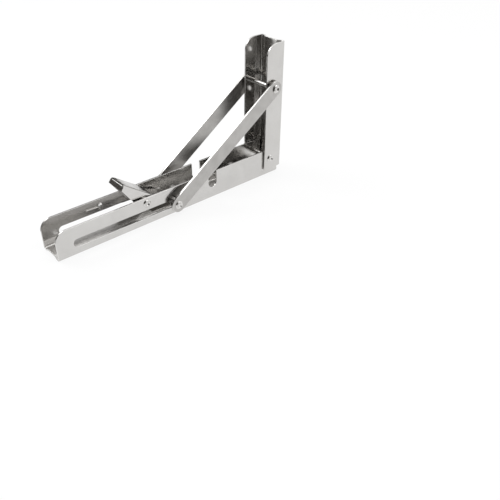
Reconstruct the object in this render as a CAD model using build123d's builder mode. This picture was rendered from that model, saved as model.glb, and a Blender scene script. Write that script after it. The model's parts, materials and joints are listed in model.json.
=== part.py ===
import os
from math import atan2, cos, degrees, radians, sin, sqrt

from build123d import *

# Folding shelf bracket, folded from stainless sheet.
# X runs from the wall out along the arm, Y across it and Z up from the face that takes the shelf.
# The origin is where the wall face and the shelf face meet, at mid width. In use it is turned over.
# Left is the +Y side and right the -Y side, as seen from the wall. All sizes are in millimetres.

# Sheet metal
sheet = 1.8
bend_inside = 1.2
bend_middle = bend_inside + sheet / 2
bend_outside = bend_inside + sheet

# Arm channel
arm_width = 32.4
arm_height = 33.0
arm_rear_reach = 14.0
arm_front_land = 18.2
arm_corner = 12.5
arm_web_rise = 2.4

# Pivots
arm_rear_gap = 3.5
hinge_below_edge = 10.5
brace_pin_back = 0.9
brace_pin_rise = 87.9
slot_z = 13.8
latched_x = 158.6

# Side by side clearances, from the lever out to the brace bars
running_gap = 0.08
side_gap = 0.15
lever_room = 2.0
hinge_room = 1.0
brace_room = 2.4
open_pivot_gap = 0.3

# Wall plate
wall_top_land = 49.4
wall_bottom_land = 13.5
wall_edge_land = 9.2
wall_top_corner = 14.0
wall_bottom_corner = 9.0
wall_web_rise = 3.0

# Ribs pressed along the middle of both webs
rib_foot = 4.4
rib_slope = 4.0

# Screw holes
screw_hole = 5.6
arm_screw_rear = 40.0
arm_screw_middle = 130.0
arm_screw_front_land = 19.8
wall_screw_first = 36.0
wall_screw_step = 47.5
wall_screws = 3

# Pins and rivets
hinge_pin_radius = 3.0
brace_pin_radius = 3.0
lever_pin_radius = 2.5
slide_shank_radius = 4.4
slide_neck_radius = 3.0
head_overhang = 1.9
head_height = 1.5
head_rim = 1.6
crown_width = 0.9
crown_height = 0.8
dimple_depth = 1.4
washer_width = 3.2
slide_clearance = 0.2
inner_head_overhang = 1.0
inner_head_height = 1.1

# Brace bars
bar_width = 17.6
bar_thickness = 2.2
bar_edge = 0.3

# Notch in the arm's free edges, which the brace pin drops into when the arm is folded
notch_width = 11.7
notch_depth_below_pin = 9.4

# Release lever, set out from its pivot
lever_ahead = 35.7
lever_below_edge = 6.5
lever_slope = 35.3
lever_web_height = 10.5
lever_web_back = 3.3
lever_tip = 34.1
lever_bend = 3.1
lip_depth = 7.1
lip_side_gap = 0.3
chin_x = 7.7
chin_z = -3.2
latch_gap = 0.6
latch_length = 17.3
latch_below = 5.7
latch_above = 7.2
latch_corner = 1.6

# Torsion spring
wire = 1.2
wire_sides = 8
coil_radius = 4.2
coil_pitch = 1.45
coil_side_gap = 0.8
leg_lift = 14.7
leg_web_gap = 0.35
leg_straight = 17.5
leg_cross = 27.5
leg_rise_end = 34.5
leg_end = 55.5
leg_below_pivot = 1.9

# Loop lanced from the right flange, which holds the long leg of the spring
loop_x = 38.5
loop_width = 3.0
loop_height = 7.2
loop_thickness = 1.2

# Widths that follow
arm_half = arm_width / 2
arm_inside = arm_half - sheet
wall_inside = arm_half + hinge_room
wall_half = wall_inside + sheet
bar_inside = wall_half + brace_room
bar_outside = bar_inside + bar_thickness
lever_half = arm_inside - lever_room
lever_inside = lever_half - sheet

# Pivots that follow
hinge_x = arm_rear_gap + arm_rear_reach
hinge_z = arm_height - hinge_below_edge
brace_pin_x = hinge_x - brace_pin_back
brace_pin_z = hinge_z + brace_pin_rise
lever_x = latched_x + lever_ahead
lever_z = arm_height - lever_below_edge
leg_z = lever_z - leg_below_pivot

# Linkage: where the lower pin stands when the arm is folded through 90 degrees to the wall
brace_length = sqrt((latched_x - brace_pin_x) ** 2 + (brace_pin_z - slot_z) ** 2)
folded_offset = hinge_x + hinge_z - slot_z - brace_pin_x
folded_rise = sqrt(brace_length**2 - folded_offset**2)
folded_x = hinge_x + brace_pin_z - hinge_z + folded_rise
fold_travel = folded_x - latched_x
brace_angle = degrees(atan2(brace_pin_z - slot_z, latched_x - brace_pin_x))
brace_turn = brace_angle + degrees(atan2(folded_rise, folded_offset))
print(f"brace {brace_length:.3f} mm, slot travel {fold_travel:.3f} mm, brace turns {brace_turn:.3f} degrees")

# Lengths that follow
slot_radius = slide_shank_radius + slide_clearance
slot_front = folded_x + slide_clearance
arm_rear = arm_rear_gap
arm_front = slot_front + slot_radius + arm_front_land
arm_screws = (arm_screw_rear, arm_screw_middle, arm_front - arm_screw_front_land)
wall_top = brace_pin_z + wall_top_land
wall_bottom = hinge_z - wall_bottom_land
wall_depth = hinge_x + wall_edge_land
notch_x = hinge_x + brace_pin_z - hinge_z
notch_pin_z = hinge_z + hinge_x - brace_pin_x
print(f"arm from {arm_rear:.2f} to {arm_front:.2f} mm, wall plate from {wall_bottom:.2f} to {wall_top:.2f} mm")

os.makedirs("parts", exist_ok=True)

# Wall plate: a channel with a rib along its web, its flanges rounded at the top and round the hinge
wall_middle = wall_half - sheet / 2
wall_rib_foot = wall_middle - rib_foot
wall_rib_top = wall_rib_foot - rib_slope
with BuildPart() as wall_plate:
    with BuildSketch(Plane.XY.offset(wall_bottom)):
        with BuildLine():
            FilletPolyline(
                (wall_depth, wall_middle),
                (sheet / 2, wall_middle),
                (sheet / 2, wall_rib_foot),
                (sheet / 2 + wall_web_rise, wall_rib_top),
                (sheet / 2 + wall_web_rise, -wall_rib_top),
                (sheet / 2, -wall_rib_foot),
                (sheet / 2, -wall_middle),
                (wall_depth, -wall_middle),
                radius=bend_middle,
            )
        trace(line_width=sheet)
    extrude(amount=wall_top - wall_bottom)
    with BuildSketch(Plane.XZ) as wall_outline:
        with BuildLine():
            Polyline(
                (0, wall_bottom),
                (wall_depth, wall_bottom),
                (wall_depth, wall_top),
                (0, wall_top),
                close=True,
            )
        make_face()
        front_corners = wall_outline.vertices().group_by(Axis.X)[-1].sort_by(Axis.Y)
        fillet(front_corners[-1], wall_top_corner)
        fillet(front_corners[0], wall_bottom_corner)
    extrude(amount=wall_half, both=True, mode=Mode.INTERSECT)
    with BuildSketch(Plane.XZ):
        with Locations((hinge_x, hinge_z)):
            Circle(hinge_pin_radius + running_gap)
        with Locations((brace_pin_x, brace_pin_z)):
            Circle(brace_pin_radius + running_gap)
    extrude(amount=wall_half, both=True, mode=Mode.SUBTRACT)
    with BuildSketch(Plane.YZ):
        for screw in range(wall_screws):
            with Locations((0, wall_bottom + wall_screw_first + screw * wall_screw_step)):
                Circle(screw_hole / 2)
    extrude(amount=sheet + wall_web_rise, mode=Mode.SUBTRACT)
wall_plate.part.label = "wall_plate"
export_step(wall_plate.part, "parts/wall_plate.step")

# Arm channel: a narrower channel with a rib, a slot in each flange and a notch in each free edge
arm_middle = arm_half - sheet / 2
arm_rib_foot = arm_middle - rib_foot
arm_rib_top = arm_rib_foot - rib_slope
rear_arc_rise = arm_height - hinge_z
rear_arc_x = hinge_x - sqrt(arm_rear_reach**2 - rear_arc_rise**2)
rear_arc_size = degrees(atan2(rear_arc_rise, hinge_x - rear_arc_x))
with BuildPart() as arm_channel:
    with BuildSketch(Plane.YZ.offset(arm_rear)):
        with BuildLine():
            FilletPolyline(
                (arm_middle, arm_height),
                (arm_middle, sheet / 2),
                (arm_rib_foot, sheet / 2),
                (arm_rib_top, sheet / 2 + arm_web_rise),
                (-arm_rib_top, sheet / 2 + arm_web_rise),
                (-arm_rib_foot, sheet / 2),
                (-arm_middle, sheet / 2),
                (-arm_middle, arm_height),
                radius=bend_middle,
            )
        trace(line_width=sheet)
    extrude(amount=arm_front - arm_rear)
    with BuildSketch(Plane.XZ) as arm_outline:
        with BuildLine():
            Polyline(
                (arm_rear, hinge_z),
                (arm_rear, 0),
                (arm_front, 0),
                (arm_front, arm_height),
                (rear_arc_x, arm_height),
            )
            CenterArc((hinge_x, hinge_z), arm_rear_reach, 180 - rear_arc_size, rear_arc_size)
        make_face()
        fillet(arm_outline.vertices().group_by(Axis.X)[-1].sort_by(Axis.Y)[-1], arm_corner)
    extrude(amount=arm_half, both=True, mode=Mode.INTERSECT)
    with BuildSketch(Plane.XZ):
        with Locations((hinge_x, hinge_z)):
            Circle(hinge_pin_radius + running_gap)
        with Locations((lever_x, lever_z)):
            Circle(lever_pin_radius + running_gap)
        with Locations(((latched_x + slot_front) / 2, slot_z)):
            SlotCenterToCenter(slot_front - latched_x, 2 * slot_radius)
        with Locations((notch_x, notch_pin_z - notch_depth_below_pin + notch_width / 2)):
            Circle(notch_width / 2)
            Rectangle(notch_width, arm_height, align=(Align.CENTER, Align.MIN))
    extrude(amount=arm_half, both=True, mode=Mode.SUBTRACT)
    with BuildSketch(Plane.XY):
        with Locations(*[(x, 0) for x in arm_screws]):
            Circle(screw_hole / 2)
    extrude(amount=sheet + arm_web_rise, mode=Mode.SUBTRACT)
    # The lanced loop stands clear of the wire, over a window in the flange
    loop_middle = -arm_inside + wire + 2 * side_gap + loop_thickness / 2
    with BuildSketch(Plane.YZ.offset(lever_x + loop_x - loop_width / 2)):
        with BuildLine():
            FilletPolyline(
                (-arm_middle, leg_z - loop_height / 2 + loop_thickness / 2),
                (loop_middle, leg_z - loop_height / 2 + loop_thickness / 2),
                (loop_middle, leg_z + loop_height / 2 - loop_thickness / 2),
                (-arm_middle, leg_z + loop_height / 2 - loop_thickness / 2),
                radius=loop_thickness,
            )
        trace(line_width=loop_thickness)
    extrude(amount=loop_width)
    with BuildSketch(Plane.XZ.offset(arm_inside)):
        with Locations((lever_x + loop_x, leg_z)):
            Rectangle(loop_width, loop_height - 2 * loop_thickness)
    extrude(amount=sheet, mode=Mode.SUBTRACT)
arm_channel.part.label = "arm_channel"
export_step(arm_channel.part, "parts/arm_channel.step")


def rivet_outline(shank_radius, start, face):
    """Half section of a shank from start out to face, with a crowned and dimpled head beyond it."""
    head_radius = shank_radius + head_overhang
    top = face + head_height
    with BuildLine() as outline:
        Polyline(
            (0, start),
            (shank_radius, start),
            (shank_radius, face),
            (head_radius, face),
            (head_radius, top - crown_height),
            (head_radius - crown_width, top),
            (head_radius - head_rim, top),
            (0, top - dimple_depth),
            close=True,
        )
    return outline.line


def section_plane(x, z):
    """Plane through a cross pin's axis, with its first direction out from the axis."""
    return Plane(origin=(x, 0, z), x_dir=(1, 0, 0), z_dir=(0, 0, 1))


# Hinge pin: riveted over on both flanges of the wall plate, and the arm turns on it
with BuildPart() as hinge_pin:
    with BuildSketch(section_plane(hinge_x, hinge_z)):
        with BuildLine():
            add(rivet_outline(hinge_pin_radius, 0, wall_half))
        make_face()
    revolve(axis=Axis((hinge_x, 0, hinge_z), (0, 1, 0)))
    mirror(about=Plane.XZ)
hinge_pin.part.label = "hinge_pin"
export_step(hinge_pin.part, "parts/hinge_pin.step")

# Brace pin: crosses the wall plate and holds both brace bars outside it
with BuildPart() as brace_pin:
    with BuildSketch(section_plane(brace_pin_x, brace_pin_z)):
        with BuildLine():
            add(rivet_outline(brace_pin_radius, 0, bar_outside + side_gap))
        make_face()
    revolve(axis=Axis((brace_pin_x, 0, brace_pin_z), (0, 1, 0)))
    mirror(about=Plane.XZ)
brace_pin.part.label = "brace_pin"
export_step(brace_pin.part, "parts/brace_pin.step")

# Lever pin: riveted over on both flanges of the arm
with BuildPart() as lever_pin:
    with BuildSketch(section_plane(lever_x, lever_z)):
        with BuildLine():
            add(rivet_outline(lever_pin_radius, 0, arm_half))
        make_face()
    revolve(axis=Axis((lever_x, 0, lever_z), (0, 1, 0)))
    mirror(about=Plane.XZ)
lever_pin.part.label = "lever_pin"
export_step(lever_pin.part, "parts/lever_pin.step")

# Washers: thin in the hinge, thicker behind the brace bars, and beside the lever
washers = {
    "hinge_washer": (hinge_x, hinge_z, hinge_pin_radius, wall_inside - hinge_room + side_gap, wall_inside),
    "brace_washer": (brace_pin_x, brace_pin_z, brace_pin_radius, wall_half, bar_inside - side_gap),
    "lever_spacer": (lever_x, lever_z, lever_pin_radius, lever_half + side_gap, arm_inside),
    "slide_spacer": (latched_x, slot_z, slide_neck_radius, arm_half + side_gap, bar_inside - open_pivot_gap),
}
for washer_name, (pin_x, pin_z, pin_radius, inner_y, outer_y) in washers.items():
    with BuildPart() as washer_left:
        with BuildSketch(section_plane(pin_x, pin_z)):
            with Locations((pin_radius + running_gap, inner_y)):
                Rectangle(washer_width - running_gap, outer_y - inner_y, align=(Align.MIN, Align.MIN))
        revolve(axis=Axis((pin_x, 0, pin_z), (0, 1, 0)))
    washer_left.part.label = f"{washer_name}_left"
    export_step(washer_left.part, f"parts/{washer_name}_left.step")
    with BuildPart() as washer_right:
        mirror(washer_left.part, about=Plane.XZ)
    washer_right.part.label = f"{washer_name}_right"
    export_step(washer_right.part, f"parts/{washer_name}_right.step")

# Slide pins: one for each slot, with a thin inner head, a shank as wide as the slot and a neck
inner_face = arm_inside - side_gap
inner_head_radius = slide_shank_radius + inner_head_overhang
with BuildPart() as slide_pin_left:
    with BuildSketch(section_plane(latched_x, slot_z)):
        with BuildLine():
            Polyline(
                (0, inner_face - inner_head_height),
                (inner_head_radius, inner_face - inner_head_height),
                (inner_head_radius, inner_face),
                (slide_shank_radius, inner_face),
                (slide_shank_radius, arm_half + side_gap),
                (slide_neck_radius, arm_half + side_gap),
                (slide_neck_radius, bar_inside - open_pivot_gap),
                (0, bar_inside - open_pivot_gap),
                close=True,
            )
        make_face()
    revolve(axis=Axis((latched_x, 0, slot_z), (0, 1, 0)))
slide_pin_left.part.label = "slide_pin_left"
export_step(slide_pin_left.part, "parts/slide_pin_left.step")
with BuildPart() as slide_pin_right:
    mirror(slide_pin_left.part, about=Plane.XZ)
slide_pin_right.part.label = "slide_pin_right"
export_step(slide_pin_right.part, "parts/slide_pin_right.step")

# Brace bars: flat bars with round ends outside the wall plate and the arm
bar_middle_x = (brace_pin_x + latched_x) / 2
bar_middle_z = (brace_pin_z + slot_z) / 2
with BuildPart() as brace_bar_left:
    with BuildSketch(Plane.XZ.offset(-bar_inside)):
        with Locations((bar_middle_x, bar_middle_z)):
            SlotCenterToCenter(brace_length, bar_width, rotation=-brace_angle)
    extrude(amount=-bar_thickness)
    chamfer(brace_bar_left.faces().sort_by(Axis.Y)[-1].edges(), bar_edge)
    with BuildSketch(Plane.XZ.offset(-bar_inside)):
        with Locations((brace_pin_x, brace_pin_z)):
            Circle(brace_pin_radius + running_gap)
        with Locations((latched_x, slot_z)):
            Circle(slide_neck_radius + running_gap)
    extrude(amount=-bar_thickness, mode=Mode.SUBTRACT)
brace_bar_left.part.label = "brace_bar_left"
export_step(brace_bar_left.part, "parts/brace_bar_left.step")
with BuildPart() as brace_bar_right:
    mirror(brace_bar_left.part, about=Plane.XZ)
brace_bar_right.part.label = "brace_bar_right"
export_step(brace_bar_right.part, "parts/brace_bar_right.step")

# Brace rivets: the outer heads at the lower ends of the bars
with BuildPart() as brace_rivet_left:
    with BuildSketch(section_plane(latched_x, slot_z)):
        with BuildLine():
            add(rivet_outline(slide_neck_radius, bar_inside, bar_outside))
        make_face()
    revolve(axis=Axis((latched_x, 0, slot_z), (0, 1, 0)))
brace_rivet_left.part.label = "brace_rivet_left"
export_step(brace_rivet_left.part, "parts/brace_rivet_left.step")
with BuildPart() as brace_rivet_right:
    mirror(brace_rivet_left.part, about=Plane.XZ)
brace_rivet_right.part.label = "brace_rivet_right"
export_step(brace_rivet_right.part, "parts/brace_rivet_right.step")

# Release lever: folded from one sheet. Its web slopes up to a lip, and its two side plates
# reach down behind the slots, where their square noses stop the slide pins
slope_x = cos(radians(lever_slope))
slope_z = sin(radians(lever_slope))
web_plane = Plane(
    origin=(lever_x, 0, lever_z), x_dir=(0, 1, 0), z_dir=(slope_x, 0, slope_z)
)


def lever_point(along, height):
    """Point in the side view: so far along the sloping web from the pivot, and so high above it."""
    return (lever_x + along * slope_x - height * slope_z, lever_z + along * slope_z + height * slope_x)


latch_face = latched_x + slide_shank_radius + latch_gap
lever_web_middle = lever_web_height - sheet / 2
lever_bend_outside = lever_bend + sheet / 2
lever_bend_start = lever_web_height - lever_bend_outside
lip_middle = lever_tip - sheet / 2
with BuildPart() as release_lever:
    # Web and the lip folded down at its tip
    with BuildSketch(Plane.XZ):
        with BuildLine():
            FilletPolyline(
                lever_point(-lever_web_back, lever_web_middle),
                lever_point(lip_middle, lever_web_middle),
                lever_point(lip_middle, lever_web_height - lip_depth),
                radius=bend_middle,
            )
        trace(line_width=sheet)
    extrude(amount=lever_inside - lip_side_gap, both=True)
    # Web with its side bends, and the start of the side plates
    with BuildSketch(web_plane.offset(-lever_web_back)):
        with BuildLine():
            FilletPolyline(
                (lever_half - sheet / 2, lever_bend_start - sheet),
                (lever_half - sheet / 2, lever_web_middle),
                (-lever_half + sheet / 2, lever_web_middle),
                (-lever_half + sheet / 2, lever_bend_start - sheet),
                radius=lever_bend,
            )
        trace(line_width=sheet)
    extrude(amount=lever_web_back + lever_tip)
    # Side plates with the latch noses
    with BuildSketch(Plane.XZ.offset(-lever_inside)) as side_plate:
        with BuildLine():
            Polyline(
                lever_point(-lever_web_back, lever_bend_start),
                lever_point(lever_tip, lever_bend_start),
                lever_point(lever_tip, lever_web_height - lip_depth),
                (lever_x + chin_x, lever_z + chin_z),
                (latch_face + latch_length, slot_z - latch_below),
                (latch_face, slot_z - latch_below),
                (latch_face, slot_z + latch_above),
                close=True,
            )
        make_face()
        nose_corners = side_plate.vertices().sort_by(Axis.X)[0:3]
        fillet(nose_corners, latch_corner)
    plates = extrude(amount=-sheet)
    mirror(plates, about=Plane.XZ)
    with BuildSketch(Plane.XZ):
        with Locations((lever_x, lever_z)):
            Circle(lever_pin_radius + running_gap)
    extrude(amount=lever_half, both=True, mode=Mode.SUBTRACT)
release_lever.part.label = "release_lever"
export_step(release_lever.part, "parts/release_lever.step")

# Torsion spring: coiled on the lever pin, with a short leg under the lever's web and a long leg
# that runs forward through the lanced loop. Both legs leave the coil in line with it, and the round
# of the wire is drawn with a few flats
wire_y = -arm_inside + wire / 2 + side_gap
coil_start_y = lever_inside - coil_side_gap - wire / 2
coil_turns = 2 + (180 - lever_slope - leg_lift) / 360
leg_reach = lever_web_height - sheet - leg_web_gap - wire / 2 - coil_radius * cos(radians(leg_lift))
spring_arm = leg_reach / sin(radians(leg_lift))
coil_plane = Plane(origin=(lever_x, -coil_start_y, lever_z), x_dir=(0, 0, -1), z_dir=(0, 1, 0))
coil = coil_plane.location * Helix(coil_pitch, coil_pitch * coil_turns, coil_radius)
coil_bottom = lever_z - coil_radius


def wire_plane(end):
    """Plane across the wire at one end of the coil, with its first direction out from the axis."""
    place = coil @ end
    return Plane(origin=place, x_dir=place - Vector(lever_x, place.Y, lever_z), z_dir=coil % end)


with BuildPart() as torsion_spring:
    with BuildSketch(wire_plane(0)):
        RegularPolygon(wire / 2, wire_sides)
    sweep(path=coil, is_frenet=True)
    with BuildLine() as long_leg:
        FilletPolyline(
            coil @ 0,
            coil @ 0 - (coil % 0) * leg_straight,
            (lever_x + leg_cross, wire_y, coil_bottom + wire / 4),
            (lever_x + leg_rise_end, wire_y, leg_z),
            (lever_x + leg_end, wire_y, leg_z + wire / 4),
            radius=2 * wire,
        )
    with BuildSketch(wire_plane(0)):
        RegularPolygon(wire / 2, wire_sides)
    sweep(path=long_leg.line)
    with BuildLine() as short_leg:
        Line(coil @ 1, coil @ 1 + (coil % 1) * spring_arm)
    with BuildSketch(wire_plane(1)):
        RegularPolygon(wire / 2, wire_sides)
    sweep(path=short_leg.line)
torsion_spring.part.label = "torsion_spring"
export_step(torsion_spring.part, "parts/torsion_spring.step")
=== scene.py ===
import math

import bmesh
import bpy
from mathutils import Euler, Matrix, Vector
from mathutils.bvhtree import BVHTree
from mathutils.geometry import area_tri
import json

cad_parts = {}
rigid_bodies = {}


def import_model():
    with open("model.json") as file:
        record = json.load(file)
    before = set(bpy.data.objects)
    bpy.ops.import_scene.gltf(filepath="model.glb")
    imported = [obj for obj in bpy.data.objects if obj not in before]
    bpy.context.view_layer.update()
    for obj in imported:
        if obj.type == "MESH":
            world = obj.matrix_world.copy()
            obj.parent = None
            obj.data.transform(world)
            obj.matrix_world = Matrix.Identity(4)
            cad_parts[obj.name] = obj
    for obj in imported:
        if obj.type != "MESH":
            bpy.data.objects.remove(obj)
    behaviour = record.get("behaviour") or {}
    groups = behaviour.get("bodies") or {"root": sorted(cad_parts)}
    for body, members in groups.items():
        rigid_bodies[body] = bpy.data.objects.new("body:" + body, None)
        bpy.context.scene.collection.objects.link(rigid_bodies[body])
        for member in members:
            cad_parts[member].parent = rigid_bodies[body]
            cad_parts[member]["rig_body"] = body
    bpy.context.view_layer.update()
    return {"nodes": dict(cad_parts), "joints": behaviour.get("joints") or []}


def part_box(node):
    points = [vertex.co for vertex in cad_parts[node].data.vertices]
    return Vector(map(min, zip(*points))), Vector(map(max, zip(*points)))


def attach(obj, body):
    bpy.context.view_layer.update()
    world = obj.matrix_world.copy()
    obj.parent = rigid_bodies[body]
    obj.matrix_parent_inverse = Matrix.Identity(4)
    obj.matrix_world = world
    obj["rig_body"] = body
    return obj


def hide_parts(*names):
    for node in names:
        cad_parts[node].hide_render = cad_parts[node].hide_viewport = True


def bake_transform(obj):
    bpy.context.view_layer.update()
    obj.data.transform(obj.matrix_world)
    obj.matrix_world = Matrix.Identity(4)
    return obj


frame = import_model()
scene = bpy.context.scene

# Camera
# The bracket is seen from in front, from its left side and from above, with its wall plate
# standing at the right. The heading is the compass turn round the bracket, in degrees.
camera_place = Vector((0.4795, 0.4902, 0.3539))
camera_heading = 137.56
camera_elevation = 35.43
camera_roll = 0.86
camera_data = bpy.data.cameras.new("camera")
camera_data.lens = 43.09
camera_data.sensor_width = 36.0
camera_data.clip_start = 0.01
camera_data.clip_end = 20.0
camera = bpy.data.objects.new("camera", camera_data)
camera.location = camera_place
camera.rotation_euler = Euler(
    (math.radians(90 - camera_elevation), 0, math.radians(camera_heading)), "XYZ"
)
camera.rotation_euler.rotate_axis("Z", math.radians(camera_roll))
scene.collection.objects.link(camera)
scene.camera = camera
scene.view_settings.view_transform = "Standard"


# Studio
# White paper under the bracket and white light all round, which the metal shows as well. Flags and
# cards of cloth, black or grey from their front only and seen by nothing but the metal's reflections,
# stand and lie where the folded sheet shows dark. Two white windows lie on the side and front cards.
def add_node(tree, kind, inputs=None, **properties):
    """A node of that kind in a tree, with its properties set and its inputs linked or given values."""
    node = tree.nodes.new(kind)
    for name, value in properties.items():
        setattr(node, name, value)
    for socket, value in (inputs or {}).items():
        if isinstance(value, bpy.types.NodeSocket):
            tree.links.new(value, node.inputs[socket])
        else:
            node.inputs[socket].default_value = value
    return node


white = (1, 1, 1, 1)
world = bpy.data.worlds.new("studio")
scene.world = world
world.use_nodes = True
world.node_tree.nodes.clear()
room = add_node(world.node_tree, "ShaderNodeBackground", {"Color": white, "Strength": 1.0})
add_node(world.node_tree, "ShaderNodeOutputWorld", {"Surface": room.outputs[0]})


def stage_plane(name, corners, material):
    """A flat sheet of the studio, given by its four corners."""
    mesh = bpy.data.meshes.new(name)
    mesh.from_pydata(corners, [], [(0, 1, 2, 3)])
    mesh.materials.append(material)
    plane = bpy.data.objects.new(name, mesh)
    scene.collection.objects.link(plane)
    return plane


# The camera and the metal see paper that is nearly white by itself, with a faint shadow left on it
paper_half = 3.0
paper_glow = 0.85
paper = bpy.data.materials.new("paper")
paper.use_nodes = True
tree = paper.node_tree
tree.nodes.clear()
rays = add_node(tree, "ShaderNodeLightPath")
seen = add_node(
    tree,
    "ShaderNodeMath",
    {0: rays.outputs["Is Camera Ray"], 1: rays.outputs["Is Glossy Ray"]},
)
shown = add_node(tree, "ShaderNodeMath", {0: seen.outputs[0], 1: rays.outputs["Is Transmission Ray"]})
share = add_node(tree, "ShaderNodeMath", {0: shown.outputs[0], 1: paper_glow}, operation="MULTIPLY")
lit = add_node(tree, "ShaderNodeBsdfDiffuse", {"Color": (0.85, 0.85, 0.85, 1)})
glow = add_node(tree, "ShaderNodeEmission", {"Color": white, "Strength": 1.0})
both = add_node(tree, "ShaderNodeMixShader", {0: share.outputs[0], 1: lit.outputs[0], 2: glow.outputs[0]})
add_node(tree, "ShaderNodeOutputMaterial", {"Surface": both.outputs[0]})
stage_plane(
    "floor",
    [
        (-paper_half, -paper_half, 0),
        (paper_half, -paper_half, 0),
        (paper_half, paper_half, 0),
        (-paper_half, paper_half, 0),
    ],
    paper,
)


def cloth(name, shade):
    """A cloth of one even shade from its front, and clear from behind."""
    material = bpy.data.materials.new(name)
    material.use_nodes = True
    tree = material.node_tree
    tree.nodes.clear()
    side = add_node(tree, "ShaderNodeNewGeometry")
    front = add_node(tree, "ShaderNodeEmission", {"Color": (*shade, 1), "Strength": 1.0})
    back = add_node(tree, "ShaderNodeBsdfTransparent")
    both = add_node(
        tree,
        "ShaderNodeMixShader",
        {0: side.outputs["Backfacing"], 1: front.outputs[0], 2: back.outputs[0]},
    )
    add_node(tree, "ShaderNodeOutputMaterial", {"Surface": both.outputs[0]})
    return material


black_cloth = cloth("black_cloth", (0.07, 0.066, 0.06))
grey_cloth = cloth("grey_cloth", (0.42, 0.41, 0.40))
white_cloth = cloth("white_cloth", (1.0, 1.0, 1.0))
for name, corner, along, up, shade in (
    ("wall_flag", (0.07, 0.03, 0.001), (0, 0.54, 0), (0, 0, 0.50), black_cloth),
    ("lever_flag", (0.60, -0.80, 0.001), (0, 1.55, 0), (0, 0, 0.32), black_cloth),
    ("camera_flag", (0.95, 0.25, 0.20), (-0.70, 0.75, 0), (0, 0, 0.90), black_cloth),
    ("back_flag", (0.05, -0.06, 0.036), (0.155, 0, 0), (-0.095, 0, 0.055), black_cloth),
    ("edge_flag", (0.12, -0.06, 0.045), (0.16, 0, 0), (0, 0, 0.023), black_cloth),
    # Painted shade: the two slot cards stand inside the arm's channel, just behind the slot in its +Y
    # flange, and darken what the metal reflects in there, black nearer the lever and grey towards the
    # front end
    ("slot_card", (0.190, 0.0134, 0.0105), (-0.044, 0, 0), (0, 0, 0.0066), black_cloth),
    ("slot_front_card", (0.284, 0.0134, 0.0105), (-0.094, 0, 0), (0, 0, 0.0066), grey_cloth),
    ("side_card", (0.34, -0.36, 0.001), (-0.27, 0.29, 0), (0.25, 0.02, 0), black_cloth),
    ("front_card", (0.34, -0.06, 0.001), (0, 0.41, 0), (0.26, 0, 0), black_cloth),
    ("left_window", (0.305, -0.322, 0.0015), (-0.037, 0.037, 0), (0.022, 0.022, 0), white_cloth),
    ("right_window", (0.42, -0.06, 0.0015), (0, 0.03, 0), (0.04, 0, 0), white_cloth),
):
    corner, along, up = Vector(corner), Vector(along), Vector(up)
    flag = stage_plane(name, [corner, corner + up, corner + up + along, corner + along], shade)
    flag.visible_camera = False
    flag.visible_diffuse = False
    flag.visible_shadow = False

lamp_target = Vector((0.12, 0, 0.05))
for name, place, size, power in (
    ("key", Vector((0.55, -0.85, 1.05)), 0.6, 5.0),
    ("fill", Vector((-0.5, 0.5, 1.2)), 0.7, 3.0),
):
    light_data = bpy.data.lights.new(name, "AREA")
    light_data.size = size
    light_data.energy = power
    light = bpy.data.objects.new(name, light_data)
    light.location = place
    light.rotation_euler = (lamp_target - place).to_track_quat("-Z", "Y").to_euler()
    scene.collection.objects.link(light)


# Wall plate
# A channel folded from one stainless sheet, with a rib pressed along its web and three screw holes.
# Its grain runs up the plate, as it was rolled. The cut edges are deburred round, and their rounding is
# coloured lighter than the sheet: partly the deburring's smoother polish, partly a painted highlight.
def new_group(name, inputs, outputs):
    """A shader node group with those named sockets, and its two end nodes."""
    group = bpy.data.node_groups.new(name, "ShaderNodeTree")
    for socket, kind in inputs:
        group.interface.new_socket(socket, in_out="INPUT", socket_type=kind)
    for socket, kind in outputs:
        group.interface.new_socket(socket, in_out="OUTPUT", socket_type=kind)
    return group, group.nodes.new("NodeGroupInput"), group.nodes.new("NodeGroupOutput")


# Fine lines left by the rolls: a noise drawn out along the sheet
rolled_grain, given, result = new_group(
    "rolled_grain",
    [("Place", "NodeSocketVector"), ("Lines per Metre", "NodeSocketVector")],
    [("Lines", "NodeSocketFloat")],
)
drawn = add_node(
    rolled_grain,
    "ShaderNodeVectorMath",
    {0: given.outputs["Place"], 1: given.outputs["Lines per Metre"]},
    operation="MULTIPLY",
)
lines = add_node(
    rolled_grain,
    "ShaderNodeTexNoise",
    {"Vector": drawn.outputs[0], "Scale": 1.0, "Detail": 4.0, "Roughness": 0.65},
)
even = add_node(
    rolled_grain,
    "ShaderNodeMapRange",
    {"Value": lines.outputs["Fac"], "From Min": 0.3, "From Max": 0.7},
)
rolled_grain.links.new(even.outputs[0], result.inputs["Lines"])

# Soft patches, where the sheet is a little duller or brighter
cloudy_patches, given, result = new_group(
    "cloudy_patches",
    [("Place", "NodeSocketVector"), ("Patches per Metre", "NodeSocketFloat")],
    [("Shade", "NodeSocketFloat")],
)
patches = add_node(
    cloudy_patches,
    "ShaderNodeTexNoise",
    {
        "Vector": given.outputs["Place"],
        "Scale": given.outputs["Patches per Metre"],
        "Detail": 3.0,
        "Roughness": 0.55,
        "Distortion": 0.4,
    },
)
even = add_node(
    cloudy_patches,
    "ShaderNodeMapRange",
    {"Value": patches.outputs["Fac"], "From Min": 0.32, "From Max": 0.68},
)
cloudy_patches.links.new(even.outputs[0], result.inputs["Shade"])

# The share of a steel's tone that comes from its grain, and not from its patches
grain_share = 0.45


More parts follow.
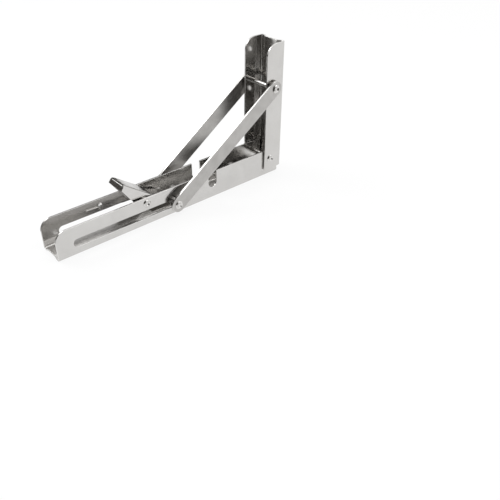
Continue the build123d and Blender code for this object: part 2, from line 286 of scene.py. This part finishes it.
def steel(name, dull, bright, smooth, rough, lines_per_metre, patches_per_metre, grain_depth, turn=0.0):
    """Bare stainless steel. Its tone runs from dull to bright with the patches and the grain, and its
    roughness from smooth to rough. The grain is turned about the cross axis, in degrees."""
    material = bpy.data.materials.new(name)
    material.use_nodes = True
    tree = material.node_tree
    shader = tree.nodes["Principled BSDF"]
    place = add_node(tree, "ShaderNodeTexCoord")
    turned = add_node(
        tree,
        "ShaderNodeMapping",
        {"Vector": place.outputs["Object"], "Rotation": (0, math.radians(turn), 0)},
        vector_type="TEXTURE",
    )
    grain = add_node(
        tree,
        "ShaderNodeGroup",
        {"Place": turned.outputs[0], "Lines per Metre": lines_per_metre},
        node_tree=rolled_grain,
    )
    clouds = add_node(
        tree,
        "ShaderNodeGroup",
        {"Place": turned.outputs[0], "Patches per Metre": patches_per_metre},
        node_tree=cloudy_patches,
    )
    mixed = add_node(
        tree,
        "ShaderNodeMix",
        {"Factor": grain_share, "A": clouds.outputs["Shade"], "B": grain.outputs["Lines"]},
        data_type="FLOAT",
    )
    tone = add_node(
        tree,
        "ShaderNodeMix",
        {"Factor": mixed.outputs["Result"], "A": (*dull, 1), "B": (*bright, 1)},
        data_type="RGBA",
    )
    gloss = add_node(
        tree,
        "ShaderNodeMapRange",
        {"Value": mixed.outputs["Result"], "To Min": rough, "To Max": smooth},
    )
    relief = add_node(
        tree,
        "ShaderNodeBump",
        {"Height": grain.outputs["Lines"], "Strength": 1.0, "Distance": grain_depth},
    )
    shader.inputs["Metallic"].default_value = 1.0
    tree.links.new(tone.outputs["Result"], shader.inputs["Base Color"])
    tree.links.new(gloss.outputs[0], shader.inputs["Roughness"])
    tree.links.new(relief.outputs[0], shader.inputs["Normal"])
    return material


def plain_mesh(piece):
    """A new mesh of the piece as its modifiers leave it."""
    depsgraph = bpy.context.evaluated_depsgraph_get()
    return bpy.data.meshes.new_from_object(piece.evaluated_get(depsgraph))


# Points within the seam gap are one point, and faces within the flat angle one face. An edge is rounded
# past the sharp angle. The cut depth is in thicknesses of the sheet.
seam_gap = 0.000001
shortest_edge = 0.0001
flat_angle = math.radians(0.5)
sharp_angle = math.radians(40)
rolled_face, rounded_edge, cut_face = range(3)
step_in = 0.00001
cut_depth = 1.6


def dressed(node, edge_width, finishes, thickness, held=False):
    """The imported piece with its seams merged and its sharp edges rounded, in place of the node. The
    finishes are for the rolled faces, the rounded edges and the cut faces. A cut face has more metal
    behind it than the sheet is thick, looked for from the middle of its largest triangle. Where held,
    the shortest edges are merged away, and the rounding is no wider than the faces have room for."""
    shape = bmesh.new()
    shape.from_mesh(frame["nodes"][node].data)
    bmesh.ops.remove_doubles(shape, verts=shape.verts, dist=seam_gap)
    bmesh.ops.dissolve_degenerate(shape, dist=seam_gap, edges=shape.edges)
    bmesh.ops.dissolve_limit(shape, angle_limit=flat_angle, verts=shape.verts, edges=shape.edges)
    if held:
        bmesh.ops.remove_doubles(shape, verts=shape.verts, dist=shortest_edge)
    shape.normal_update()
    inside = BVHTree.FromBMesh(shape)
    largest = {}
    for corners in shape.calc_loop_triangles():
        points = [corner.vert.co for corner in corners]
        area = area_tri(*points)
        if area > largest.get(corners[0].face, (0, None))[0]:
            largest[corners[0].face] = (area, sum(points, Vector()) / 3)
    for face, (area, middle) in largest.items():
        depth = inside.ray_cast(middle - face.normal * step_in, -face.normal)[3]
        is_cut = depth is not None and depth > cut_depth * thickness
        face.material_index = cut_face if is_cut else rolled_face
    shape.verts.index_update()
    mesh = bpy.data.meshes.new(node + "_finished")
    mesh.from_pydata(
        [point.co for point in shape.verts],
        [],
        [[point.index for point in face.verts] for face in shape.faces],
    )
    for polygon, face in zip(mesh.polygons, shape.faces):
        polygon.material_index = face.material_index
    shape.free()
    mesh.shade_smooth()
    for finish in finishes:
        mesh.materials.append(finish)
    piece = bpy.data.objects.new(node + "_finished", mesh)
    scene.collection.objects.link(piece)
    rounding = piece.modifiers.new("rounding", "BEVEL")
    rounding.width = edge_width
    rounding.segments = 2
    rounding.limit_method = "ANGLE"
    rounding.angle_limit = sharp_angle
    rounding.use_clamp_overlap = held
    rounding.loop_slide = False
    rounding.material = rounded_edge
    shading = piece.modifiers.new("shading", "WEIGHTED_NORMAL")
    shading.weight = 100
    finished = plain_mesh(piece)
    piece.modifiers.clear()
    piece.data = finished
    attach(piece, frame["nodes"][node]["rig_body"])
    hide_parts(node)


# Partly painted highlight: the rounded edges are lighter than any sheet, partly for the deburring's
# smoother polish and partly for the shine that edges catch
edge_polish_and_highlight = steel(
    "deburred_edge_painted_highlight",
    dull=(0.70, 0.69, 0.675),
    bright=(0.78, 0.77, 0.755),
    smooth=0.16,
    rough=0.26,
    lines_per_metre=(900, 900, 900),
    patches_per_metre=120,
    grain_depth=0.000002,
)
cut_steel = steel(
    "blanked_edge",
    dull=(0.54, 0.53, 0.515),
    bright=(0.64, 0.63, 0.615),
    smooth=0.20,
    rough=0.30,
    lines_per_metre=(1500, 300, 1500),
    patches_per_metre=250,
    grain_depth=0.000002,
)
sheet_thickness = 0.0018
sheet_rounding = 0.00025
wall_steel = steel(
    "wall_plate_sheet",
    dull=(0.59, 0.58, 0.565),
    bright=(0.64, 0.63, 0.615),
    smooth=0.12,
    rough=0.19,
    lines_per_metre=(1600, 1600, 160),
    patches_per_metre=60,
    grain_depth=0.0000025,
)
dressed("wall_plate", sheet_rounding, (wall_steel, edge_polish_and_highlight, cut_steel), sheet_thickness)

# Arm channel
# A narrower channel folded from the same sheet, with a rib, a slot in each flange, a notch in each
# free edge and a small loop lanced from the right flange. Its grain runs along the arm.
arm_steel = steel(
    "arm_channel_sheet",
    dull=(0.59, 0.58, 0.565),
    bright=(0.645, 0.635, 0.62),
    smooth=0.14,
    rough=0.22,
    lines_per_metre=(160, 1600, 1600),
    patches_per_metre=55,
    grain_depth=0.0000025,
)
dressed("arm_channel", sheet_rounding, (arm_steel, edge_polish_and_highlight, cut_steel), sheet_thickness)

# Release lever
# Folded from the same sheet: a sloping web with a turned-down lip as its handle, and two side plates
# that turn on the lever pin and end in square noses. Its grain runs down the sloping web.
lever_slope = 35.3
lever_steel = steel(
    "release_lever_sheet",
    dull=(0.60, 0.59, 0.575),
    bright=(0.66, 0.65, 0.635),
    smooth=0.14,
    rough=0.22,
    lines_per_metre=(160, 1600, 1600),
    patches_per_metre=60,
    grain_depth=0.0000025,
    turn=lever_slope,
)
dressed(
    "release_lever",
    sheet_rounding,
    (lever_steel, edge_polish_and_highlight, cut_steel),
    sheet_thickness,
    held=True,
)

# Brace bars
# Two flat bars with round ends, blanked from thicker strip and tumbled, so that their faces are
# duller and finely speckled. Each is held by the brace pin at the top and a rivet at the bottom.
bar_slope = 34.2
bar_thickness = 0.0022
bar_rounding = 0.00015
bar_steel = steel(
    "brace_bar_strip",
    dull=(0.43, 0.42, 0.405),
    bright=(0.53, 0.52, 0.505),
    smooth=0.26,
    rough=0.36,
    lines_per_metre=(900, 1300, 1300),
    patches_per_metre=90,
    grain_depth=0.000003,
    turn=bar_slope,
)
for side in ("left", "right"):
    dressed(f"brace_bar_{side}", bar_rounding, (bar_steel, edge_polish_and_highlight, cut_steel), bar_thickness)

# Washers, spacers and slide pins
# Turned from bar and left bright. The washers fill the gaps at the hinge and the brace pin, and the
# lever's spacers centre it. The slide pins run in the arm's slots, each with a spacer up to its bar.
turned_steel = steel(
    "turned_pin",
    dull=(0.62, 0.61, 0.595),
    bright=(0.70, 0.69, 0.675),
    smooth=0.12,
    rough=0.20,
    lines_per_metre=(700, 2500, 700),
    patches_per_metre=200,
    grain_depth=0.000003,
)
turned_rounding = 0.00015
for name in ("hinge_washer", "brace_washer", "lever_spacer", "slide_spacer", "slide_pin"):
    for side in ("left", "right"):
        # No face of a turned piece is a cut one, however much metal is behind it
        dressed(f"{name}_{side}", turned_rounding, (turned_steel,) * 3, math.inf)

# Cross pins and brace rivets
# Turned from bar and riveted over with a spinning punch, which leaves a round head with a dimple.
# The hinge, brace and lever pins have a head at both ends, and each brace bar has a rivet of its own.
def geometry_tree(name, inputs):
    """A geometry tree with those named inputs and one geometry result."""
    tree = bpy.data.node_groups.new(name, "GeometryNodeTree")
    tree.is_modifier = True
    tree.interface.new_socket("Geometry", in_out="INPUT", socket_type="NodeSocketGeometry")
    for socket, kind in inputs:
        tree.interface.new_socket(socket, in_out="INPUT", socket_type=kind)
    tree.interface.new_socket("Geometry", in_out="OUTPUT", socket_type="NodeSocketGeometry")
    return tree, tree.nodes.new("NodeGroupInput"), tree.nodes.new("NodeGroupOutput")


def grown(name, data, tree, values):
    """The plain mesh that a geometry tree makes of some data, with its inputs set by name."""
    piece = bpy.data.objects.new(name, data)
    scene.collection.objects.link(piece)
    modifier = piece.modifiers.new(tree.name, "NODES")
    modifier.node_group = tree
    for item in tree.interface.items_tree:
        if item.in_out == "INPUT" and item.name in values:
            modifier[item.identifier] = values[item.name]
    mesh = plain_mesh(piece)
    bpy.data.objects.remove(piece)
    mesh.name = name
    plain = bpy.data.objects.new(name, mesh)
    scene.collection.objects.link(plain)
    return plain


riveted_pin, given, result = geometry_tree(
    "riveted_pin",
    [
        ("Place", "NodeSocketVector"),
        ("Start", "NodeSocketFloat"),
        ("Start Radius", "NodeSocketFloat"),
        ("Face", "NodeSocketFloat"),
        ("Shank Radius", "NodeSocketFloat"),
        ("Head Radius", "NodeSocketFloat"),
        ("Head Height", "NodeSocketFloat"),
        ("Crown Width", "NodeSocketFloat"),
        ("Crown Height", "NodeSocketFloat"),
        ("Dimple Radius", "NodeSocketFloat"),
        ("Dimple Depth", "NodeSocketFloat"),
        ("Rounding", "NodeSocketFloat"),
        ("Sides", "NodeSocketInt"),
        ("Finish", "NodeSocketMaterial"),
    ],
)


def reckon(operation, a, b, c=0.0):
    """The result of one sum in the pin's tree."""
    return add_node(riveted_pin, "ShaderNodeMath", {0: a, 1: b, 2: c}, operation=operation).outputs[0]


# Half section: out along the shank's end, up the shank, over the head's crown and down into the dimple.
# Each corner has its share of the rounding. The section is swept round a small ring on the axis.
ring = 0.001
bowl_width = 0.45
bowl_depth = 0.9
head_top = reckon("ADD", given.outputs["Face"], given.outputs["Head Height"])
bowl_radius = reckon("MULTIPLY", given.outputs["Dimple Radius"], bowl_width)
bowl_height = reckon("MULTIPLY_ADD", given.outputs["Dimple Depth"], -bowl_depth, head_top)
section = (
    (given.outputs["Start Radius"], given.outputs["Start"], 0.0),
    (given.outputs["Shank Radius"], given.outputs["Start"], 0.0),
    (given.outputs["Shank Radius"], given.outputs["Face"], 0.0),
    (given.outputs["Head Radius"], given.outputs["Face"], 0.2),
    (given.outputs["Head Radius"], reckon("SUBTRACT", head_top, given.outputs["Crown Height"]), 1.0),
    (reckon("SUBTRACT", given.outputs["Head Radius"], given.outputs["Crown Width"]), head_top, 1.0),
    (given.outputs["Dimple Radius"], head_top, 0.6),
    (bowl_radius, bowl_height, 1.2),
    (0.0, reckon("SUBTRACT", head_top, given.outputs["Dimple Depth"]), 0.0),
)
index = add_node(riveted_pin, "GeometryNodeInputIndex")
corner = add_node(riveted_pin, "GeometryNodeIndexSwitch", data_type="VECTOR")
rounded = add_node(riveted_pin, "GeometryNodeIndexSwitch", data_type="FLOAT")
for switch in (corner, rounded):
    riveted_pin.links.new(index.outputs[0], switch.inputs["Index"])
    while len(switch.index_switch_items) < len(section):
        switch.index_switch_items.new()
for number, (radius, height, share) in enumerate(section):
    point = add_node(
        riveted_pin,
        "ShaderNodeCombineXYZ",
        {"X": reckon("SUBTRACT", radius, ring), "Y": height},
    )
    riveted_pin.links.new(point.outputs[0], corner.inputs[number + 1])
    riveted_pin.links.new(reckon("MULTIPLY", given.outputs["Rounding"], share), rounded.inputs[number + 1])
string = add_node(riveted_pin, "GeometryNodeMeshLine", {"Count": len(section)})
placed = add_node(
    riveted_pin,
    "GeometryNodeSetPosition",
    {"Geometry": string.outputs[0], "Position": corner.outputs[0]},
)
outline = add_node(riveted_pin, "GeometryNodeMeshToCurve", {"Mesh": placed.outputs[0]})
filleted = add_node(
    riveted_pin,
    "GeometryNodeFilletCurve",
    {"Curve": outline.outputs[0], "Count": 5, "Radius": rounded.outputs[0], "Limit Radius": True},
    mode="POLY",
)
turning = add_node(
    riveted_pin,
    "GeometryNodeCurvePrimitiveCircle",
    {"Resolution": given.outputs["Sides"], "Radius": ring},
)
turned_half = add_node(
    riveted_pin,
    "GeometryNodeCurveToMesh",
    {"Curve": turning.outputs[0], "Profile Curve": filleted.outputs[0]},
)
closed = add_node(
    riveted_pin,
    "GeometryNodeMergeByDistance",
    {"Geometry": turned_half.outputs[0], "Distance": seam_gap},
)
# Both ends are the same half, turned outwards to either side
ends = add_node(riveted_pin, "GeometryNodeMeshLine", {"Count": 2, "Offset": (0, 0, 0)})
end = add_node(riveted_pin, "GeometryNodeInputIndex")
tilt = add_node(
    riveted_pin,
    "ShaderNodeMath",
    {0: end.outputs[0], 1: math.pi, 2: -math.pi / 2},
    operation="MULTIPLY_ADD",
)
facing = add_node(riveted_pin, "ShaderNodeCombineXYZ", {"X": tilt.outputs[0]})
halves = add_node(
    riveted_pin,
    "GeometryNodeInstanceOnPoints",
    {"Points": ends.outputs[0], "Instance": closed.outputs[0], "Rotation": facing.outputs[0]},
)
whole = add_node(riveted_pin, "GeometryNodeRealizeInstances", {"Geometry": halves.outputs[0]})
joined = add_node(
    riveted_pin,
    "GeometryNodeMergeByDistance",
    {"Geometry": whole.outputs[0], "Distance": seam_gap},
)
moved = add_node(
    riveted_pin,
    "GeometryNodeTransform",
    {"Geometry": joined.outputs[0], "Translation": given.outputs["Place"]},
)
smooth = add_node(
    riveted_pin,
    "GeometryNodeSetShadeSmooth",
    {"Geometry": moved.outputs[0]},
    domain="FACE",
)
bend = add_node(riveted_pin, "GeometryNodeInputMeshEdgeAngle")
sharp = add_node(
    riveted_pin,
    "FunctionNodeCompare",
    {"A": bend.outputs["Unsigned Angle"], "B": sharp_angle},
    data_type="FLOAT",
    operation="GREATER_THAN",
)
crisp = add_node(
    riveted_pin,
    "GeometryNodeSetShadeSmooth",
    {"Geometry": smooth.outputs[0], "Selection": sharp.outputs[0], "Shade Smooth": False},
    domain="EDGE",
)
finish = add_node(
    riveted_pin,
    "GeometryNodeSetMaterial",
    {"Geometry": crisp.outputs[0], "Material": given.outputs["Finish"]},
)
riveted_pin.links.new(finish.outputs[0], result.inputs[0])

pivots = {
    joint["name"]: Vector(joint["pos_m"]) for joint in frame["joints"] if joint["type"] == "hinge"
}
slide_low, slide_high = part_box("slide_pin_left")
slide_pivot = Vector(((slide_low.x + slide_high.x) / 2, 0, (slide_low.z + slide_high.z) / 2))
pin_radius = 0.0030
lever_pin_radius = 0.0025
head_height = 0.0015
head_overhang = 0.0019
head_rim = 0.0016
# A cross pin's halves meet at its middle. A rivet's shank starts closed, level with its bar's inner face.
pin_middle = 0.0
rivet_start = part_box("brace_rivet_left")[0].y
for name, nodes, place, shank_radius, start in (
    ("hinge_pin_riveted", ["hinge_pin"], pivots["fold"], pin_radius, pin_middle),
    ("brace_pin_riveted", ["brace_pin"], pivots["brace_swing"], pin_radius, pin_middle),
    ("lever_pin_riveted", ["lever_pin"], pivots["lever_press"], lever_pin_radius, pin_middle),
    ("brace_rivets", ["brace_rivet_left", "brace_rivet_right"], slide_pivot, pin_radius, rivet_start),
):
    head_radius = shank_radius + head_overhang
    pin = grown(
        name,
        bpy.data.meshes.new(name),
        riveted_pin,
        {
            "Place": place,
            "Start": start,
            "Start Radius": shank_radius if start == pin_middle else 0.0,
            "Face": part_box(nodes[0])[1].y - head_height,
            "Shank Radius": shank_radius,
            "Head Radius": head_radius,
            "Head Height": head_height,
            "Crown Width": 0.0013,
            "Crown Height": 0.0011,
            "Dimple Radius": head_radius - head_rim,
            "Dimple Depth": 0.0016,
            "Rounding": 0.0005,
            "Sides": 48,
            "Finish": turned_steel,
        },
    )
    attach(pin, frame["nodes"][nodes[0]]["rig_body"])
    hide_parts(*nodes)

# Torsion spring
# Bright drawn wire, coiled on the lever pin. Its short leg lies under the lever's web and its long leg
# runs forward through the loop.
spring_wire = steel(
    "drawn_wire",
    dull=(0.42, 0.41, 0.395),
    bright=(0.50, 0.49, 0.475),
    smooth=0.14,
    rough=0.20,
    lines_per_metre=(300, 1500, 1500),
    patches_per_metre=300,
    grain_depth=0.000001,
)
wire = 0.0012
coil_radius = 0.0042
coil_pitch = 0.00145
coil_turns = 2.361
steps_per_turn = 16
lever_pivot = pivots["lever_press"]
wire_low, wire_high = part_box("torsion_spring")
coil_end_y = wire_high.y - wire / 2
coil_start_y = coil_end_y - coil_pitch * coil_turns
leg_y = wire_low.y + wire / 2
leg_rise = 0.0019
short_leg_length = 0.01453
short_leg_straight = 0.006
steps = round(coil_turns * steps_per_turn)
step_angle = 2 * math.pi * coil_turns / steps
# The wire's smooth line touches the middle of each stretch between its points, so the points stand a
# little further out, half a step round from where the line touches the coil's circle
points_radius = coil_radius / math.cos(step_angle / 2)
coil_points = []
for step in range(steps):
    turned = (step + 0.5) * step_angle
    coil_points.append(
        lever_pivot
        + Vector(
            (
                -points_radius * math.sin(turned),
                coil_start_y + coil_pitch * turned / (2 * math.pi),
                -points_radius * math.cos(turned),
            )
        )
    )
# The long leg, from its tip back through the loop, down to the coil's lowest level and in to the coil
coil_low = lever_pivot.z - coil_radius
long_leg = [
    Vector((wire_high.x, leg_y, lever_pivot.z - leg_rise + wire / 4)),
    Vector((lever_pivot.x + 0.0345, leg_y, lever_pivot.z - leg_rise)),
    Vector((lever_pivot.x + 0.0275, leg_y, coil_low + wire / 4)),
    Vector((lever_pivot.x + 0.0175, coil_start_y - 0.0010, coil_low)),
    Vector((lever_pivot.x + 0.0050, coil_start_y - 0.0003, coil_low)),
]
whole_turn = 2 * math.pi * coil_turns
coil_end = lever_pivot + Vector(
    (-coil_radius * math.sin(whole_turn), coil_end_y, -coil_radius * math.cos(whole_turn))
)
leaving = Vector(
    (
        -coil_radius * math.cos(whole_turn),
        coil_pitch / (2 * math.pi),
        coil_radius * math.sin(whole_turn),
    )
).normalized()
short_leg = [coil_end + leaving * short_leg_straight, coil_end + leaving * short_leg_length]
route = long_leg + coil_points + short_leg
wire_line = bpy.data.curves.new("spring_line", "CURVE")
wire_line.dimensions = "3D"
wire_line.resolution_u = 6
spline = wire_line.splines.new("NURBS")
spline.points.add(len(route) - 1)
for point, place in zip(spline.points, route):
    point.co = (*place, 1)
spline.order_u = 3
spline.use_endpoint_u = True

bent_wire, given, result = geometry_tree(
    "bent_wire",
    [
        ("Wire Diameter", "NodeSocketFloat"),
        ("Sides", "NodeSocketInt"),
        ("Finish", "NodeSocketMaterial"),
    ],
)
half = add_node(
    bent_wire,
    "ShaderNodeMath",
    {0: given.outputs["Wire Diameter"], 1: 0.5},
    operation="MULTIPLY",
)
circle = add_node(
    bent_wire,
    "GeometryNodeCurvePrimitiveCircle",
    {"Resolution": given.outputs["Sides"], "Radius": half.outputs[0]},
)
swept = add_node(
    bent_wire,
    "GeometryNodeCurveToMesh",
    {"Curve": given.outputs["Geometry"], "Profile Curve": circle.outputs[0], "Fill Caps": True},
)
smooth = add_node(
    bent_wire,
    "GeometryNodeSetShadeSmooth",
    {"Geometry": swept.outputs[0]},
    domain="FACE",
)
whole = add_node(bent_wire, "GeometryNodeRealizeInstances", {"Geometry": smooth.outputs[0]})
finish = add_node(
    bent_wire,
    "GeometryNodeSetMaterial",
    {"Geometry": whole.outputs[0], "Material": given.outputs["Finish"]},
)
bent_wire.links.new(finish.outputs[0], result.inputs[0])
spring = grown(
    "torsion_spring_wire",
    wire_line,
    bent_wire,
    {"Wire Diameter": wire, "Sides": 14, "Finish": spring_wire},
)
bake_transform(spring)
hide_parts("torsion_spring")
